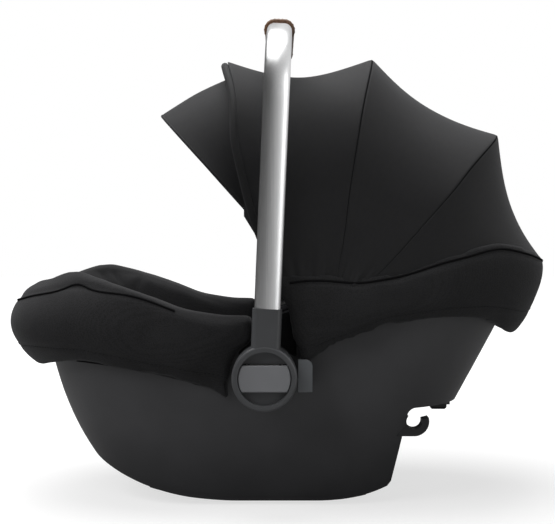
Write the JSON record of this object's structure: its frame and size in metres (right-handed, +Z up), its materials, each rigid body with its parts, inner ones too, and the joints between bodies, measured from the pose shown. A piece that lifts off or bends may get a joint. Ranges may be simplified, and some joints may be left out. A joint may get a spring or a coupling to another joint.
{
  "type": "infant car seat",
  "caption": "Infant car seat: moulded rocker bucket with padded black covers, a folding canopy with visor, a harness and a pivoting aluminium carry handle with a leather grip.",
  "frame": {"origin": "on the floor under the middle of the seat's overall box", "axes": "+X towards the head end, +Y to the right-hand side, +Z up"},
  "size_m": [0.6406, 0.444, 0.5708],
  "materials": {
    "shell_plastic": "fine-textured dark grey moulding",
    "runner_rubber": "firm black strip",
    "eps_foam": "beaded energy-absorbing foam",
    "cover_fabric": "black padded weave",
    "liner_fabric": "black quilted knit",
    "canopy_fabric": "black woven polyester",
    "webbing": "ribbed woven webbing",
    "satin_aluminium": "satin anodised",
    "grip_leather": "brown grained, sewn",
    "hub_plastic": "dark grey, fine texture",
    "button_plastic": "mid grey, satin",
    "gear_plastic": "natural engineering plastic",
    "stay_plastic": "black, satin",
    "buckle_plastic": "black, fine texture",
    "buckle_red": "red, satin",
    "lever_plastic": "grey, satin",
    "bright_steel": "bright plated"
  },
  "bodies": {
    "shell": {"shell": "shell_plastic", "pivot_boss_left": "shell_plastic", "pivot_boss_right": "shell_plastic", "rocker_runner_left": "runner_rubber", "rocker_runner_right": "runner_rubber", "seat_foam": "eps_foam", "seat_liner": "liner_fabric", "infant_insert": "liner_fabric", "head_support": "liner_fabric", "front_cover": "cover_fabric", "rear_cover": "cover_fabric", "shoulder_strap_left": "webbing", "shoulder_strap_right": "webbing", "shoulder_pad_left": "liner_fabric", "shoulder_pad_right": "liner_fabric", "hip_strap_left": "webbing", "hip_strap_right": "webbing", "crotch_strap": "webbing", "buckle_housing": "buckle_plastic", "buckle_tongue_left": "bright_steel", "buckle_tongue_right": "bright_steel", "adjuster_housing": "buckle_plastic", "adjuster_strap": "webbing", "lap_belt_guide_left": "hub_plastic", "lap_belt_guide_right": "hub_plastic", "shoulder_belt_hook_left": "buckle_plastic", "shoulder_belt_hook_right": "buckle_plastic", "dock_bar_front": "bright_steel", "dock_bar_rear": "bright_steel", "canopy_bracket_left": "stay_plastic", "canopy_bracket_right": "stay_plastic", "canopy_tail_panel": "canopy_fabric"},
    "handle": {"handle_tube": "satin_aluminium", "handle_grip": "grip_leather", "hub_housing_left": "hub_plastic", "hub_housing_right": "hub_plastic"},
    "button_left": {"handle_button_left": "button_plastic", "lock_gear_left": "gear_plastic"},
    "button_right": {"handle_button_right": "button_plastic", "lock_gear_right": "gear_plastic"},
    "rear_bow": {"rear_bow": "stay_plastic", "canopy_rear_panel": "canopy_fabric"},
    "mid_bow": {"mid_bow": "stay_plastic", "canopy_front_panel": "canopy_fabric"},
    "front_bow": {"front_bow": "stay_plastic"},
    "visor": {"visor_hoop": "stay_plastic", "canopy_visor": "canopy_fabric"},
    "release_lever": {"release_lever": "buckle_plastic"},
    "buckle_button": {"buckle_button": "buckle_red"},
    "adjuster_lever": {"adjuster_lever": "lever_plastic"}
  },
  "joints": [
    {"name": "handle_pivot", "type": "hinge", "parent": "shell", "child": "handle", "pos_m": [-0.014, 0, 0.159], "axis": [0, 1, 0], "range_deg": [0, 105]},
    {"name": "button_left_press", "type": "slide", "parent": "handle", "child": "button_left", "axis": [0, 1, 0], "range_m": [0, 0.0045], "stiffness_N_per_m": 1200},
    {"name": "button_right_press", "type": "slide", "parent": "handle", "child": "button_right", "axis": [0, -1, 0], "range_m": [0, 0.0045], "stiffness_N_per_m": 1200},
    {"name": "canopy_fold", "type": "hinge", "parent": "shell", "child": "rear_bow", "pos_m": [0.028, 0, 0.22], "axis": [0, 1, 0], "range_deg": [0, 7], "deforming": ["canopy_tail_panel"]},
    {"name": "mid_bow_fold", "type": "hinge", "parent": "rear_bow", "child": "mid_bow", "pos_m": [0.028, 0, 0.22], "axis": [0, 1, 0], "range_deg": [0, 24.1], "deforming": ["canopy_rear_panel"]},
    {"name": "front_bow_fold", "type": "hinge", "parent": "mid_bow", "child": "front_bow", "pos_m": [0.028, 0, 0.22], "axis": [0, 1, 0], "range_deg": [0, 24.3], "deforming": ["canopy_front_panel"]},
    {"name": "visor_hinge", "type": "hinge", "parent": "front_bow", "child": "visor", "pos_m": [-0.03, 0, 0.337], "axis": [0, 1, 0], "range_deg": [0, 26], "deforming": ["canopy_visor"]},
    {"name": "base_release", "type": "slide", "parent": "shell", "child": "release_lever", "axis": [1, 0, 0], "range_m": [0, 0.008], "stiffness_N_per_m": 900},
    {"name": "buckle_press", "type": "slide", "parent": "shell", "child": "buckle_button", "axis": [0, 0, -1], "range_m": [0, 0.003], "stiffness_N_per_m": 2500},
    {"name": "adjuster_press", "type": "slide", "parent": "shell", "child": "adjuster_lever", "axis": [-0.61, 0, -0.7924], "range_m": [0, 0.0025], "stiffness_N_per_m": 2000}
  ],
  "couplings": [
    {"joint": "mid_bow_fold", "follows": "canopy_fold", "ratio": 3.4429},
    {"joint": "front_bow_fold", "follows": "canopy_fold", "ratio": 3.4714}
  ]
}
